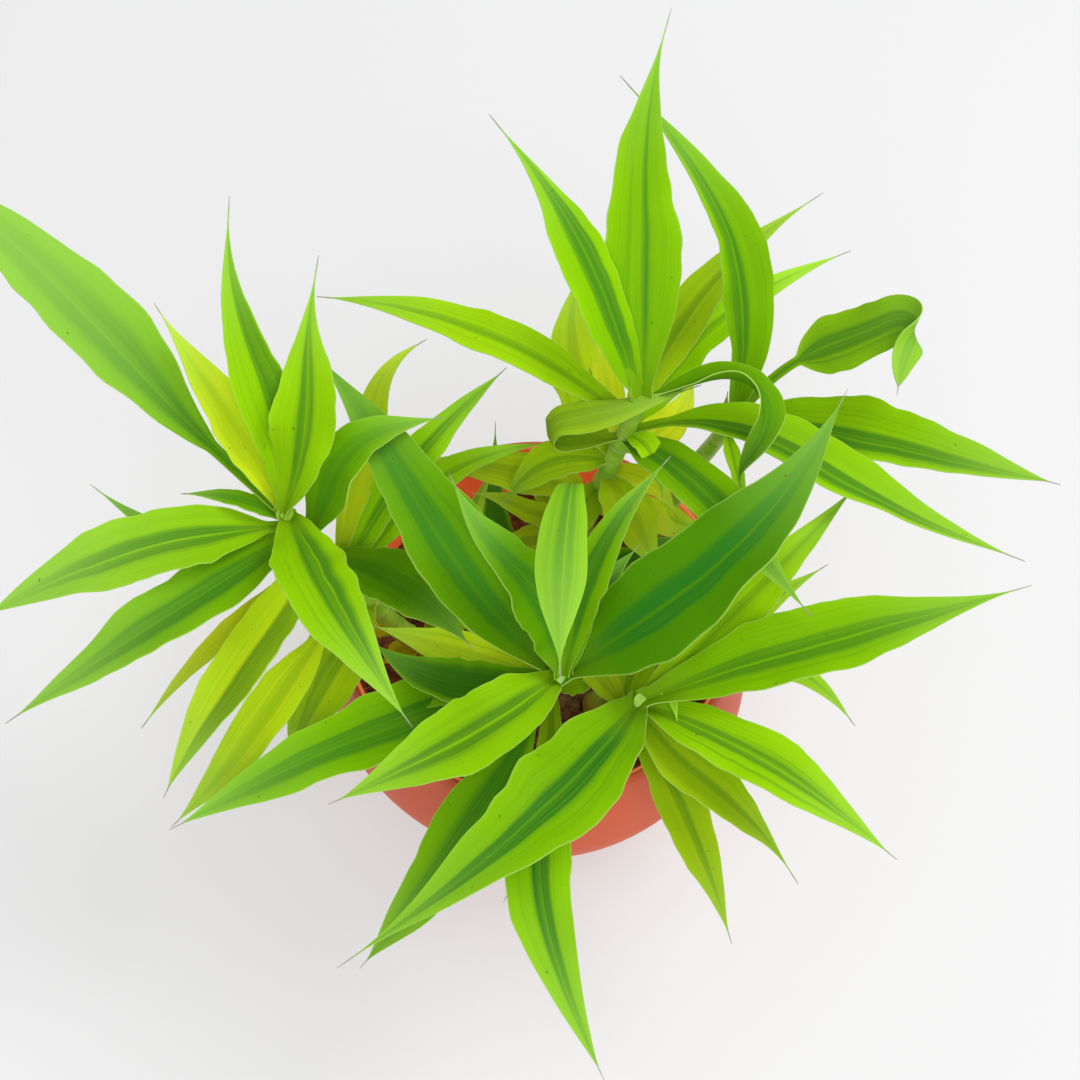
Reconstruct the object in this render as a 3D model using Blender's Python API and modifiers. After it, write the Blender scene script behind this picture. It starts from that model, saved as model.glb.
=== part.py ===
"""Lucky bamboo with variegated leaves in a plastic pot.

Five canes stand in holes in the soil of a turned pot. Each cane is fused with its leaves into one
leafy stem. The frame's origin is the centre of the pot's flat base, +Z is up and -Y is the front.
Lengths are in metres. Rows in the leaf and cane lists are in millimetres and degrees.
"""

import math
import random
from collections import namedtuple

import bmesh
import bpy
from mathutils import Vector

MM = 0.001
OBJECT_NAME = "potted_lucky_bamboo"
SHARP_ANGLE = math.radians(38)

# Pot: a turned bowl, widest a little above half its height
POT_HEIGHT = 0.092
POT_BASE_RADIUS = 0.048
POT_WIDEST_RADIUS = 0.075
POT_WIDEST_HEIGHT = 0.056
POT_MOUTH_RADIUS = 0.068
POT_WALL = 0.003
POT_FLOOR = 0.004
POT_LOWER_CURVE = 1.42
POT_UPPER_CURVE = 1.6
POT_PROFILE_STEPS = 8
POT_RIM_STEPS = 4
POT_SIDES = 56

# Soil: fills the pot to well below the rim, a little higher in the middle
SOIL_TOP = 0.054
SOIL_EDGE_DROP = 0.004
SOIL_SHOULDER_RADIUS_SHARE = 0.5
SOIL_SHOULDER_DROP_SHARE = 0.3
SOIL_WALL_STEPS = 5
SOIL_SIDES = 40
HOLE_SIDES = 20
CUTTER_OVERSHOOT = 0.02
SEAT_GAP = 0.0003
MERGE_DISTANCE = 0.00001

# Canes: each stands upright in the soil, then leans out
CANE_FOOT = 0.020
CANE_UPRIGHT_LEAD = 0.03
CANE_BASE_RADIUS = 0.0046
CANE_TIP_RADIUS = 0.0026
CANE_STEPS_PER_SPAN = 5
CANE_BEVEL_RESOLUTION = 2

# Leaf blades
BLADE_THICKNESS = 0.0008
BLADE_ROOT_WIDTH = 0.16
BLADE_TIP_WIDTH = 0.0013
UNROLL_EASE = 0.14
BLADE_WAVE = 0.05
WAVE_FADE = 1.2
WAVES_PER_LEAF = 2.2
LINE_STEPS_PER_CUT = 4
WAVE_SEED = 7

# One leaf: drop is how far its root lies below the cane's tip, heading is the way it points seen
# from above (0 is +X, 90 is +Y), rise its first slope, droop how far that slope falls, sweep how far
# the heading turns. The bend is centred at the share turn of the length and spread by ease. sway
# bows the blade sideways. roll turns it about its own length up to the share unroll. stalk
# is the share of the length that stays narrow, belly the share where it is widest, taper how fast it
# narrows from there, fold how steeply its halves rise from the midrib, and cuts its stiff lengths.
Leaf = namedtuple(
    "Leaf",
    "drop heading rise droop sweep length width turn ease sway roll unroll stalk belly taper fold cuts",
    defaults=(0.5, 0.5, 0, 0, 1, 0.04, 0.4, 1.35, 0.22, 9),
)

Cane = namedtuple("Cane", "points leaves")

LEFT_CANE = Cane(
    points=((-36, -2, 57), (-50, -3, 88), (-61, -2, 125), (-76, -4, 168)),
    leaves=(
        Leaf(0, 56, 60, 19, 30, 81, 19, sway=-11, taper=2.2),
        Leaf(2, 103, 59, 23, -6, 97, 14, sway=-13, taper=1.8),
        Leaf(4, 125, 48, 21, 6, 75, 15, sway=-4, taper=1.6),
        Leaf(6, 142, 34, 27, -1, 163, 24, sway=5, stalk=0.2, belly=0.5, taper=1.2),
        Leaf(3, -70, 35, 50, 18, 90, 20),
        Leaf(8, 171, 45, 61, 0, 38, 6),
        Leaf(9, -163, 20, 36, 6, 98, 23, stalk=0.1, taper=1),
        Leaf(14, -135, 17, 41, -19, 108, 20),
        Leaf(18, -164, -10, 32, -27, 52, 14),
        Leaf(30, -178, -10, -27, -36, 83, 10),
        Leaf(24, -117, 3, 54, -18, 99, 17, sway=3, taper=1.2),
        Leaf(30, -142, -7, 43, -8, 90, 7),
        Leaf(34, -25, 17, 31, -22, 57, 19),
        Leaf(38, 76, 27, 26, -42, 80, 12, turn=0.8, ease=0.2, taper=1.1),
        Leaf(43, 50, 40, 17, -14, 84, 14, taper=1.1),
        Leaf(18, 52, 62, 76, -26, 66, 16, turn=0.48, ease=0.3, sway=-6),
        Leaf(50, 53, 27, 44, -33, 85, 12),
        Leaf(56, -120, -2, 40, -26, 106, 16, sway=-5, stalk=0.16, belly=0.52),
        Leaf(66, -113, 10, 69, -17, 69, 21),
        Leaf(92, 160, 4, 32, 47, 16, 8),
        Leaf(104, 56, 35, 29, 19, 72, 11, sway=-9),
        Leaf(106, -164, 5, 31, 15, 18, 9),
    ),
)

BACK_CANE = Cane(
    points=((10, 28, 57), (13, 30, 75), (18, 32, 105), (32, 34, 172)),
    leaves=(
        Leaf(0, 95, 52, 37, -18, 121, 24, sway=-3, belly=0.38, taper=2.2),
        Leaf(2, 128, 61, 43, -1, 101, 16, sway=4, taper=1.8),
        Leaf(4, 2, 26, 117, -184, 83, 11, 0.6, 0.35, 8, roll=-35, unroll=0.6, fold=0.8, cuts=14),
        Leaf(34, 66, 22, 20, -29, 120, 16, stalk=0.1, taper=1.7),
        Leaf(40, 58, 20, 21, -32, 116, 15, stalk=0.1),
        Leaf(13, 163, 41, 61, -4, 114, 15),
        Leaf(19, -11, 34, 50, -10, 138, 18, turn=0.25, ease=0.25, sway=6, stalk=0.12),
        Leaf(22, -163, 21, -154, -3, 83, 11, turn=0.38, ease=0.14, sway=3, belly=0.5, cuts=14),
        Leaf(23, -52, 32, 55, 3, 91, 18, sway=4),
        Leaf(20, -48, 38, 96, -30, 30, 8),
        Leaf(28, 102, 22, 24, -11, 54, 10),
        Leaf(31, 12, 17, 10, 65, 40, 12),
        Leaf(35, 124, 32, 23, -45, 67, 18),
        Leaf(42, -14, 11, 32, -46, 30, 9),
        Leaf(66, 156, 33, 31, -70, 30, 10),
        Leaf(68, -5, 4, 26, -10, 46, 13),
        Leaf(74, -175, 19, 38, -37, 45, 9, sway=14),
        Leaf(84, 149, 29, 21, -53, 38, 8),
        Leaf(92, 179, 15, 30, 6, 34, 12),
        Leaf(96, -152, 19, 49, 30, 86, 13),
        Leaf(104, -34, 32, 18, 72, 51, 15, sway=-14),
        Leaf(62, 171, 26, 34, 0, 66, 14),
        Leaf(112, 173, 30, -2, -101, 73, 10, sway=17),
        Leaf(36, 178, 6, 70, 24, 46, 15),
        Leaf(44, -68, 8, 50, 14, 40, 17),
        Leaf(52, -128, 14, 48, 10, 42, 16),
        Leaf(60, -28, 20, 40, -6, 38, 13),
    ),
)

RIGHT_CANE = Cane(
    points=((28, 24, 57), (42, 35, 86), (52, 43, 110), (65, 47, 140)),
    leaves=(
        Leaf(0, 16, 42, 50, -140, 97, 19, 0.72, 0.09, 22, -152, 0.77, 0.3, 0.4, 0.65, cuts=16),
        Leaf(1, 79, 59, 41, 64, 125, 17, sway=-9, taper=1.6),
        Leaf(3, -24, 33, 40, 6, 110, 23, sway=5, taper=1.1),
        Leaf(6, -86, 22, 59, 14, 36, 5),
        Leaf(9, -109, 81, -2, 0, 33, 3),
    ),
)

FRONT_LEFT_CANE = Cane(
    points=((-2, -14, 57), (1, -22, 80), (4, -33, 110), (8, -44, 138)),
    leaves=(
        Leaf(0, 77, 50, 22, -36, 77, 13),
        Leaf(1, 115, 56, 30, 23, 76, 21, sway=-20, belly=0.28),
        Leaf(2, 86, 60, -132, 0, 134, 14, 0.55, 0.12, sway=5, stalk=0.48, belly=0.76, taper=1.5, cuts=16),
        Leaf(3, 17, 40, 25, 41, 126, 31, sway=3, belly=0.33),
        Leaf(5, 68, 40, 11, -29, 48, 13),
        Leaf(6, -134, 27, 38, -24, 85, 23),
        Leaf(8, 139, 35, 30, -17, 131, 25, sway=6),
        Leaf(42, 10, 2, 20, -6, 20, 16),
        Leaf(20, -166, 3, 19, -59, 67, 16),
        Leaf(24, -113, 1, 44, -29, 116, 21, stalk=0.14, belly=0.52, taper=1.2),
        Leaf(30, -87, -11, 42, -38, 80, 10),
        Leaf(28, -171, 5, 38, 0, 68, 8),
        Leaf(42, -157, 17, 33, 1, 132, 25, taper=1.1),
        Leaf(44, 170, 24, 25, -8, 62, 15),
        Leaf(56, 140, 25, 20, 10, 46, 12),
    ),
)

FRONT_RIGHT_CANE = Cane(
    points=((20, -20, 57), (24, -31, 80), (28, -42, 108), (32, -50, 132)),
    leaves=(
        Leaf(1, 11, 25, 31, 6, 126, 23, sway=2, taper=1.7),
        Leaf(2, 37, 31, 61, -135, 21, 4, sway=17),
        Leaf(3, -120, 36, 57, -30, 132, 27, belly=0.34, taper=1.8),
        Leaf(4, 38, 25, 21, 9, 99, 15),
        Leaf(6, -31, 19, 41, -4, 93, 19),
        Leaf(8, 38, 13, 17, -4, 78, 12),
        Leaf(11, -50, 4, 37, 8, 77, 16, sway=-9, taper=2.2),
        Leaf(15, 31, 9, 62, -60, 95, 12),
        Leaf(17, -142, 27, 46, 72, 132, 21, turn=0.35, ease=0.35, sway=7, taper=1.1),
        Leaf(20, -62, -6, 42, -3, 86, 15, taper=1.5),
        Leaf(28, 128, 22, 30, 10, 34, 11),
        Leaf(40, 95, 20, 15, -10, 34, 11),
        Leaf(30, 76, 22, 30, -16, 38, 15),
    ),
)

CANES = {
    "leafy_stem_left": LEFT_CANE,
    "leafy_stem_back": BACK_CANE,
    "leafy_stem_right": RIGHT_CANE,
    "leafy_stem_front_left": FRONT_LEFT_CANE,
    "leafy_stem_front_right": FRONT_RIGHT_CANE,
}

CORAL = (0.74, 0.13, 0.07, 1)
SOIL_BROWN = (0.05, 0.03, 0.018, 1)
LEAF_GREEN = (0.22, 0.52, 0.03, 1)


def clear_scene():
    for obj in list(bpy.data.objects):
        bpy.data.objects.remove(obj, do_unlink=True)


def new_collection(name):
    collection = bpy.data.collections.new(name)
    bpy.context.scene.collection.children.link(collection)
    return collection


def new_object(name, mesh, collection):
    obj = bpy.data.objects.new(name, mesh)
    collection.objects.link(obj)
    return obj


def new_material(name, colour, roughness):
    material = bpy.data.materials.new(name)
    material.use_nodes = True
    shader = material.node_tree.nodes["Principled BSDF"]
    shader.inputs["Base Color"].default_value = colour
    shader.inputs["Roughness"].default_value = roughness
    shader.inputs["Metallic"].default_value = 0
    return material


def apply_modifiers(obj):
    """Replaces the object's mesh with its evaluated one."""
    bpy.context.view_layer.update()
    graph = bpy.context.evaluated_depsgraph_get()
    mesh = bpy.data.meshes.new_from_object(obj.evaluated_get(graph))
    obj.modifiers.clear()
    obj.data = mesh


def turned(name, profile, sides, collection):
    """A solid of revolution. The profile runs up its inside and down its outside, from axis to axis."""
    mesh = bpy.data.meshes.new(name)
    edges = [(i, i + 1) for i in range(len(profile) - 1)]
    mesh.from_pydata([(radius, 0, height) for radius, height in profile], edges, [])
    obj = new_object(name, mesh, collection)
    screw = obj.modifiers.new("turn", "SCREW")
    screw.steps = sides
    screw.render_steps = sides
    screw.use_merge_vertices = True
    screw.merge_threshold = MERGE_DISTANCE
    return obj


def pot_radius(height):
    """Outer radius of the pot at a height."""
    if height < POT_WIDEST_HEIGHT:
        down = (POT_WIDEST_HEIGHT - height) / POT_WIDEST_HEIGHT
        swell = (1 - down**POT_LOWER_CURVE) ** (1 / POT_LOWER_CURVE)
        return POT_BASE_RADIUS + (POT_WIDEST_RADIUS - POT_BASE_RADIUS) * swell
    up = (height - POT_WIDEST_HEIGHT) / (POT_HEIGHT - POT_WIDEST_HEIGHT)
    return POT_WIDEST_RADIUS - (POT_WIDEST_RADIUS - POT_MOUTH_RADIUS) * up**POT_UPPER_CURVE


def heights(low, high, steps):
    return [low + (high - low) * i / steps for i in range(steps + 1)]


def pot_profile():
    lip = POT_WALL / 2
    top = POT_HEIGHT - lip
    middle = POT_MOUTH_RADIUS - lip
    inner = [(pot_radius(z) - POT_WALL, z) for z in heights(POT_FLOOR, top, POT_PROFILE_STEPS)]
    angles = [math.pi * i / POT_RIM_STEPS for i in range(1, POT_RIM_STEPS)]
    rim = [(middle - lip * math.cos(a), top + lip * math.sin(a)) for a in angles]
    upper = [(pot_radius(z), z) for z in heights(top, POT_WIDEST_HEIGHT, POT_PROFILE_STEPS // 2)]
    downs = [math.sin(math.pi / 2 * i / POT_PROFILE_STEPS) for i in range(1, POT_PROFILE_STEPS)]
    lower = [(pot_radius(z), z) for z in (POT_WIDEST_HEIGHT * (1 - down) for down in downs)]
    return [(0, POT_FLOOR)] + inner + rim + upper + lower + [(POT_BASE_RADIUS, 0), (0, 0)]


def make_pot(collection):
    pot = turned("pot", pot_profile(), POT_SIDES, collection)
    apply_modifiers(pot)
    pot.data.shade_smooth()
    pot.data.set_sharp_from_angle(angle=SHARP_ANGLE)
    pot.data.materials.append(new_material("coral_plastic", CORAL, 0.5))
    return pot


def soil_profile():
    """Runs from the middle of the top, out and down along the pot's inner wall, to the middle below."""
    low = POT_FLOOR + SEAT_GAP
    edge = SOIL_TOP - SOIL_EDGE_DROP
    levels = reversed(heights(low, edge, SOIL_WALL_STEPS))
    wall = [(pot_radius(z) - POT_WALL - 2 * SEAT_GAP, z) for z in levels]
    shoulder_radius = wall[0][0] * SOIL_SHOULDER_RADIUS_SHARE
    shoulder = (shoulder_radius, SOIL_TOP - SOIL_EDGE_DROP * SOIL_SHOULDER_DROP_SHARE)
    return [(0, SOIL_TOP), shoulder] + wall + [(0, low)]


def make_soil(collection, cutters):
    soil = turned("soil", soil_profile(), SOIL_SIDES, collection)
    for name, cane in CANES.items():
        foot = cane.points[0]
        bm = bmesh.new()
        depth = SOIL_TOP - CANE_FOOT + CUTTER_OVERSHOOT
        radius = CANE_BASE_RADIUS + SEAT_GAP
        bmesh.ops.create_cone(
            bm, cap_ends=True, segments=HOLE_SIDES, radius1=radius, radius2=radius, depth=depth
        )
        mesh = bpy.data.meshes.new("hole_for_" + name)
        bm.to_mesh(mesh)
        bm.free()
        cutter = new_object(mesh.name, mesh, cutters)
        cutter.location = (foot[0] * MM, foot[1] * MM, CANE_FOOT - SEAT_GAP + depth / 2)
        cutter.hide_render = True
        cutter.display_type = "WIRE"
        cut = soil.modifiers.new(cutter.name, "BOOLEAN")
        cut.operation = "DIFFERENCE"
        cut.object = cutter
        cut.solver = "EXACT"
    apply_modifiers(soil)
    for cutter in list(cutters.objects):
        bpy.data.objects.remove(cutter, do_unlink=True)
    soil.data.shade_smooth()
    soil.data.set_sharp_from_angle(angle=SHARP_ANGLE)
    soil.data.materials.append(new_material("potting_soil", SOIL_BROWN, 0.95))
    return soil


def cane_line(cane):
    """Points along a cane's axis: straight up out of the soil, then a smooth curve through its points."""
    first = Vector(cane.points[0]) * MM
    foot = Vector((first.x, first.y, CANE_FOOT))
    knots = [Vector(point) * MM for point in cane.points]
    ends = [knots[0] - Vector((0, 0, CANE_UPRIGHT_LEAD))] + knots + [2 * knots[-1] - knots[-2]]
    line = [foot]
    for i in range(len(knots) - 1):
        before, start, end, after = ends[i : i + 4]
        for step in range(CANE_STEPS_PER_SPAN):
            t = step / CANE_STEPS_PER_SPAN
            line.append(
                0.5
                * (
                    2 * start
                    + (end - before) * t
                    + (2 * before - 5 * start + 4 * end - after) * t**2
                    + (3 * start - before - 3 * end + after) * t**3
                )
            )
    line.append(knots[-1])
    return line


def point_below_tip(line, drop):
    """The point of a line that lies drop metres before its end, measured along it."""
    left = drop
    for start, end in zip(reversed(line[:-1]), reversed(line[1:])):
        span = (end - start).length
        if left <= span:
            return end + (start - end) * (left / span)
        left -= span
    return line[0]


def make_cane(name, cane, collection):
    line = cane_line(cane)
    curve = bpy.data.curves.new(name + "_cane", "CURVE")
    curve.dimensions = "3D"
    curve.bevel_depth = CANE_BASE_RADIUS
    curve.bevel_resolution = CANE_BEVEL_RESOLUTION
    curve.use_fill_caps = True
    spline = curve.splines.new("POLY")
    spline.points.add(len(line) - 1)
    for i, point in enumerate(line):
        share = i / (len(line) - 1)
        spline.points[i].co = (*point, 1)
        spline.points[i].radius = 1 + (CANE_TIP_RADIUS / CANE_BASE_RADIUS - 1) * share
    guide = new_object(name + "_cane", curve, collection)
    bpy.context.view_layer.update()
    graph = bpy.context.evaluated_depsgraph_get()
    mesh = bpy.data.meshes.new_from_object(guide.evaluated_get(graph))
    bpy.data.objects.remove(guide, do_unlink=True)
    bpy.data.curves.remove(curve)
    bm = bmesh.new()
    bm.from_mesh(mesh)
    bmesh.ops.remove_doubles(bm, verts=bm.verts, dist=MERGE_DISTANCE)
    bmesh.ops.recalc_face_normals(bm, faces=bm.faces)
    bm.to_mesh(mesh)
    bm.free()
    return new_object(name, mesh, collection)


def eased(share, turn, ease):
    """Climbs smoothly from 0 to 1 around turn."""
    x = min(max((share - turn + ease) / (2 * ease), 0), 1)
    return x * x * (3 - 2 * x)


def blade_frame(leaf, share):
    """Unit vectors of a blade at a share of its length: along it, to its left, and out of its face."""
    bend = eased(share, leaf.turn, leaf.ease)
    slope = math.radians(leaf.rise - leaf.droop * bend)
    sway = leaf.sway * math.cos(2 * math.pi * share)
    heading = math.radians(leaf.heading + leaf.sweep * bend + sway)
    level = Vector((math.cos(heading), math.sin(heading), 0))
    along = level * math.cos(slope) + Vector((0, 0, math.sin(slope)))
    left = Vector((-math.sin(heading), math.cos(heading), 0))
    face = along.cross(left)
    roll = math.radians(leaf.roll) * (1 - eased(share, leaf.unroll, UNROLL_EASE))
    rolled_left = left * math.cos(roll) + face * math.sin(roll)
    rolled_face = face * math.cos(roll) - left * math.sin(roll)
    return along, rolled_left, rolled_face


def blade_line(leaf, root, cuts):
    """Points along a blade's midrib, from its root inside the cane to its tip."""
    fine = cuts * LINE_STEPS_PER_CUT
    points = [root.copy()]
    for i in range(fine):
        along = blade_frame(leaf, (i + 0.5) / fine)[0]
        points.append(points[-1] + along * (leaf.length * MM / fine))
    return points[::LINE_STEPS_PER_CUT]


def blade_half_width(leaf, share):
    if share < leaf.stalk:
        spread = BLADE_ROOT_WIDTH
    elif share < leaf.belly:
        climb = (share - leaf.stalk) / (leaf.belly - leaf.stalk)
        spread = BLADE_ROOT_WIDTH + (1 - BLADE_ROOT_WIDTH) * math.sin(math.pi / 2 * climb)
    else:
        fall = (share - leaf.belly) / (1 - leaf.belly)
        spread = max(math.cos(math.pi / 2 * fall), 0) ** leaf.taper
    return max(leaf.width * MM * spread, BLADE_TIP_WIDTH) / 2


def make_blade(name, leaf, root, waves, collection):
    """A folded blade with waved edges, split into triangles before it gets its thickness."""
    line = blade_line(leaf, root, leaf.cuts)
    phases = [waves.uniform(0, 2 * math.pi) for _ in range(2)]
    bm = bmesh.new()
    bmesh.ops.create_grid(bm, x_segments=leaf.cuts, y_segments=2, size=1)
    for vert in bm.verts:
        step = round((vert.co.x + 1) / 2 * leaf.cuts)
        share = step / leaf.cuts
        side = round(vert.co.y)
        left, face = blade_frame(leaf, share)[1:]
        half = blade_half_width(leaf, share)
        phase = phases[0] if side > 0 else phases[1]
        wave = math.sin(2 * math.pi * WAVES_PER_LEAF * share + phase) * BLADE_WAVE * leaf.width * MM
        fade = math.sin(math.pi * min(share * WAVE_FADE, 1))
        lift = abs(side) * (half * leaf.fold + wave * fade)
        vert.co = line[step] + left * (side * half) + face * lift
    bmesh.ops.triangulate(bm, faces=bm.faces)
    mesh = bpy.data.meshes.new(name)
    bm.to_mesh(mesh)
    bm.free()
    blade = new_object(name, mesh, collection)
    thicken = blade.modifiers.new("thickness", "SOLIDIFY")
    thicken.thickness = BLADE_THICKNESS
    thicken.offset = 0
    apply_modifiers(blade)
    return blade


def make_leafy_stem(name, cane, collection, material, waves):
    stem = make_cane(name, cane, collection)
    line = cane_line(cane)
    blades = new_collection(name + "_blades")
    for i, leaf in enumerate(cane.leaves):
        make_blade(f"{name}_blade_{i}", leaf, point_below_tip(line, leaf.drop * MM), waves, blades)
    join = stem.modifiers.new("fuse leaves", "BOOLEAN")
    join.operation = "UNION"
    join.operand_type = "COLLECTION"
    join.collection = blades
    join.solver = "EXACT"
    apply_modifiers(stem)
    for blade in list(blades.objects):
        bpy.data.objects.remove(blade, do_unlink=True)
    bpy.data.collections.remove(blades)
    stem.data.materials.clear()
    stem.data.materials.append(material)
    return stem


def main():
    clear_scene()
    parts = new_collection(OBJECT_NAME)
    cutters = new_collection("cutters")
    make_pot(parts)
    make_soil(parts, cutters)
    leaf_green = new_material("variegated_leaf", LEAF_GREEN, 0.45)
    waves = random.Random(WAVE_SEED)
    for name, cane in CANES.items():
        make_leafy_stem(name, cane, parts, leaf_green, waves)


if __name__ == "__main__":
    main()
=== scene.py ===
"""Looks of the potted lucky bamboo: fine leaves with waved edges and stripes, canes with rings, the
coral pot and crumbly soil, on a pale floor. Lengths are in metres. Rows in the leaf and cane lists
are in millimetres and degrees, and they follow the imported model's canes and leaves.
"""

import math
import random
from collections import namedtuple

import bmesh
import bpy
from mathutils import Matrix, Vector, noise


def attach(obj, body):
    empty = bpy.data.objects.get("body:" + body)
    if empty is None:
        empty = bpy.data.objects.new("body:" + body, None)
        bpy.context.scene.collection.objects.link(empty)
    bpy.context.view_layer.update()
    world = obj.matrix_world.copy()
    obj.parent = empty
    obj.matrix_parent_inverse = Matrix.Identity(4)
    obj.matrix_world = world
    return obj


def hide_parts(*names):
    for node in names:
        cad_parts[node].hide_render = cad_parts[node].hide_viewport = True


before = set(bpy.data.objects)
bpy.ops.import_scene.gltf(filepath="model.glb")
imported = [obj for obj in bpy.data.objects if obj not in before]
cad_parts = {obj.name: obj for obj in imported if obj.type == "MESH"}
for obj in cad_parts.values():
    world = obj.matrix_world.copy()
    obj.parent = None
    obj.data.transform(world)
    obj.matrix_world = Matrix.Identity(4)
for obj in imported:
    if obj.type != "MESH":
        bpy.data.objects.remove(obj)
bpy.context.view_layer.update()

MM = 0.001
BODY = "root"

# Camera: looks down on the plant from the front
CAMERA_PLACE = (0.0008, -0.2361, 0.5871)
CAMERA_TILT = math.radians(28)
CAMERA_LENS = 53.33
CAMERA_SENSOR = 36

# Pot: a turned bowl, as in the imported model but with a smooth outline
POT_HEIGHT = 0.092
POT_BASE_RADIUS = 0.048
POT_WIDEST_RADIUS = 0.075
POT_WIDEST_HEIGHT = 0.056
POT_MOUTH_RADIUS = 0.068
POT_WALL = 0.003
POT_FLOOR = 0.004
POT_LOWER_CURVE = 1.42
POT_UPPER_CURVE = 1.6
POT_PROFILE_STEPS = 32
POT_RIM_STEPS = 10
POT_SIDES = 168
POT_SHARP_ANGLE = math.radians(38)
MERGE_DISTANCE = 0.00001

# Canes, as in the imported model, with thicker rings where leaves grew
CANE_FOOT = 0.020
CANE_UPRIGHT_LEAD = 0.03
CANE_BASE_RADIUS = 0.0046
CANE_TIP_RADIUS = 0.0026
CANE_STEPS_PER_SPAN = 5
CANE_FINE_STEPS = 150
CANE_SIDES = 28
CANE_PROBE = 0.001
CANE_SHARP_ANGLE = math.radians(60)
RING_SPACING = 0.0075
RING_HEIGHT = 0.05
RING_NARROWNESS = 8
LOWEST_RING_SHARE = 0.2

# Blades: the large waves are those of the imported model, and the ripples and insets are finer
UNROLL_EASE = 0.14
BLADE_WAVE = 0.05
WAVE_FADE = 1.2
WAVES_PER_LEAF = 2.2
WAVE_SEED = 7
FINE_CUTS_PER_STIFF_LENGTH = 6
FINE_SIDE_CUTS = 12
LINE_STEPS_PER_CUT = 2
FINE_THICKNESS = 0.00035
BLADE_SHARP_ANGLE = math.radians(70)
MIDRIB_ROUNDING = 0.02
RIPPLE_HEIGHT = 0.09
RIPPLES_PER_LEAF = 9
BULGE_HEIGHT = 0.014
BULGES_PER_LEAF = 6
WIDE_INSET = 0.24
WIDE_INSETS_PER_LEAF = 6
SMALL_INSET = 0.12
SMALL_INSETS_PER_LEAF = 17
HAIR_WIDTH = 0.0003
HAIR_TAPER = 0.75
BODY_END = 0.965
STALK_WIDTH = 0.16
LONGEST_CLASPING_STALK = 0.1
CLASPING_WIDTH = 0.27
CLASPING_FOLD = 0.85
CLASPING_SHARE = 0.16
FINE_WAVE_SEED = 21
SEED_RANGE = 50

# Where each kind of unevenness is read from the smooth noise, so that no two run alike
LEFT_EDGE_NOISE = 3
RIGHT_EDGE_NOISE = 7
BULGE_NOISE = 11
WIDE_INSET_NOISE = 20
SMALL_INSET_NOISE = 30
NOISE_PLANE = 0.37

# Light: a bright sky from all sides, a large soft key lamp at the right, and another in front
SKY_STRENGTH = 0.55
LAMP_TARGET = (0, 0, 0.1)
KEY_LAMP_PLACE = (0.9, 0.4, 1.6)
KEY_LAMP_SIZE = 0.8
KEY_LAMP_POWER = 17
FRONT_LAMP_PLACE = (0.1, -1.0, 1.4)
FRONT_LAMP_SIZE = 1.2
FRONT_LAMP_POWER = 14
FLOOR_SIZE = 6

Leaf = namedtuple(
    "Leaf",
    "drop heading rise droop sweep length width turn ease sway roll unroll stalk belly taper fold cuts",
    defaults=(0.5, 0.5, 0, 0, 1, 0.04, 0.4, 1.35, 0.22, 9),
)

Cane = namedtuple("Cane", "points leaves looks")

# How a leaf is striped. centre and half_width place the dark band across the blade (-1 right edge, 1
# left edge), line is the strength of the pale line along the band's middle, dark the band's depth,
# stripes the strength of the narrow stripes beside it. age runs from a fresh leaf at 0 to a yellow one
# at 1, and green from a lime leaf at 0 to a deep green one at 1.
Look = namedtuple("Look", "centre half_width line dark stripes age green")

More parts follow.
